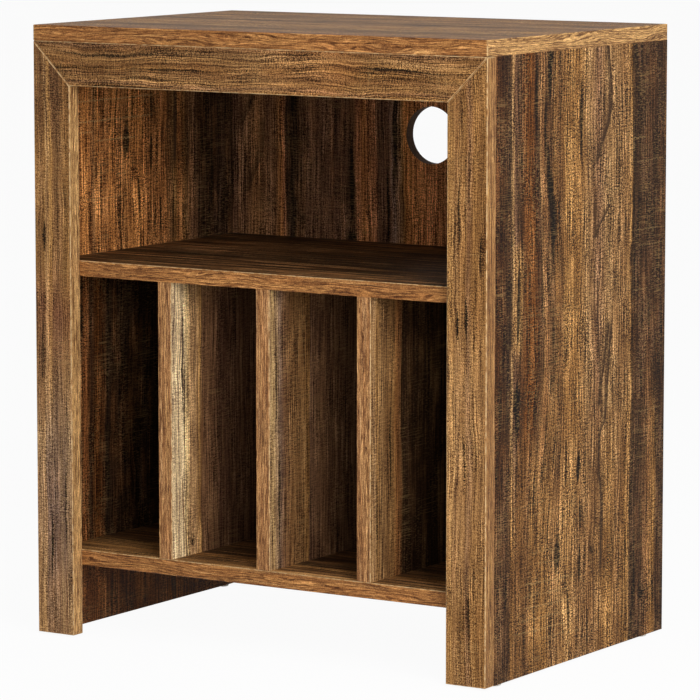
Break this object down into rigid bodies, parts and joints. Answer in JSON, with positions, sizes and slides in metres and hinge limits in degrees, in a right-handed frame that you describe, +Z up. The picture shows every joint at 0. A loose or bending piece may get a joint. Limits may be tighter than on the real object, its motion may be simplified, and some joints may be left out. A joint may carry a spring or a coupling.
{
  "type": "record storage stand",
  "caption": "Free-standing wood-grain stand with a flat top for a turntable, an open compartment with a cable hole in its back, and upright slots for records above an open foot.",
  "frame": {"origin": "on the floor under the middle of the stand, at the height of the glides' lower faces", "axes": "+X to the right seen from the front, +Y from the front frame towards the back panel, +Z up"},
  "size_m": [0.6, 0.4, 0.703],
  "materials": {
    "laminate": "printed wood-grain laminate on particle board, satin",
    "edge_tape": "printed wood-grain edge tape, satin",
    "zinc_plate": "zinc-plated",
    "white_nylon": "moulded",
    "bare_wood": "unfinished"
  },
  "bodies": {
    "root": {"top_panel": "laminate", "left_side_panel": "laminate", "right_side_panel": "laminate", "left_stile": "laminate", "right_stile": "laminate", "header_rail": "laminate", "upper_shelf": "laminate", "bottom_shelf": "laminate", "left_divider": "laminate", "centre_divider": "laminate", "right_divider": "laminate", "back_panel": "laminate", "top_edge_tape": "edge_tape", "upper_shelf_edge_tape": "edge_tape", "bottom_shelf_edge_tape": "edge_tape", "left_divider_edge_tape": "edge_tape", "centre_divider_edge_tape": "edge_tape", "right_divider_edge_tape": "edge_tape", "left_front_glide": "white_nylon", "left_rear_glide": "white_nylon", "right_front_glide": "white_nylon", "right_rear_glide": "white_nylon", "top_left_front_cam": "zinc_plate", "top_left_rear_cam": "zinc_plate", "top_right_front_cam": "zinc_plate", "top_right_rear_cam": "zinc_plate", "upper_shelf_left_front_cam": "zinc_plate", "upper_shelf_left_rear_cam": "zinc_plate", "upper_shelf_right_front_cam": "zinc_plate", "upper_shelf_right_rear_cam": "zinc_plate", "bottom_shelf_left_front_cam": "zinc_plate", "bottom_shelf_left_rear_cam": "zinc_plate", "bottom_shelf_right_front_cam": "zinc_plate", "bottom_shelf_right_rear_cam": "zinc_plate", "top_left_front_bolt": "zinc_plate", "top_left_rear_bolt": "zinc_plate", "top_right_front_bolt": "zinc_plate", "top_right_rear_bolt": "zinc_plate", "upper_shelf_left_front_bolt": "zinc_plate", "upper_shelf_left_rear_bolt": "zinc_plate", "upper_shelf_right_front_bolt": "zinc_plate", "upper_shelf_right_rear_bolt": "zinc_plate", "bottom_shelf_left_front_bolt": "zinc_plate", "bottom_shelf_left_rear_bolt": "zinc_plate", "bottom_shelf_right_front_bolt": "zinc_plate", "bottom_shelf_right_rear_bolt": "zinc_plate", "left_divider_front_screw": "zinc_plate", "left_divider_rear_screw": "zinc_plate", "centre_divider_front_screw": "zinc_plate", "centre_divider_rear_screw": "zinc_plate", "right_divider_front_screw": "zinc_plate", "right_divider_rear_screw": "zinc_plate", "back_upper_shelf_left_screw": "zinc_plate", "back_upper_shelf_right_screw": "zinc_plate", "back_bottom_shelf_left_screw": "zinc_plate", "back_bottom_shelf_right_screw": "zinc_plate", "left_stile_spline": "bare_wood", "right_stile_spline": "bare_wood", "left_mitre_biscuit": "bare_wood", "right_mitre_biscuit": "bare_wood"}
  },
  "joints": []
}
